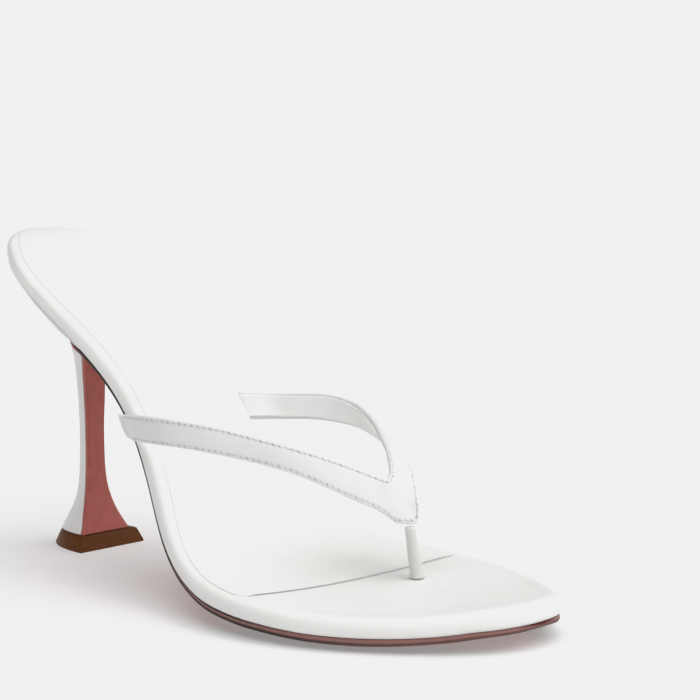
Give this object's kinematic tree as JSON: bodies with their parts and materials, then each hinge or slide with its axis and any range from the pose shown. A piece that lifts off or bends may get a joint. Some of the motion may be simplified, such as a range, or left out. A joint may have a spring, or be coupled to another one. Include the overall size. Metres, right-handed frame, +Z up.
{
  "type": "heeled thong sandal",
  "caption": "Heeled thong sandal for the right foot with a padded footbed, stitched leather straps meeting above a toe post, and a slender flared heel.",
  "frame": {"origin": "middle of the bottom of the bounding box, on the floor", "axes": "+X toward the toe, +Y toward the wearer's left (the inner side of this right shoe), +Z up"},
  "size_m": [0.204, 0.0816, 0.0941],
  "materials": {
    "footbed": "smooth white leather over padding",
    "outsole": "dyed terracotta sole leather, matt",
    "upper": "smooth white leather, folded edges, stitched",
    "toe_post": "rolled white leather",
    "heel": "smooth white leather wrapped on a moulded core",
    "top_lift": "dark brown, satin"
  },
  "bodies": {
    "root": {"footbed": "footbed", "outsole": "outsole", "upper": "upper", "toe_post": "toe_post", "heel": "heel", "top_lift": "top_lift"}
  },
  "joints": []
}
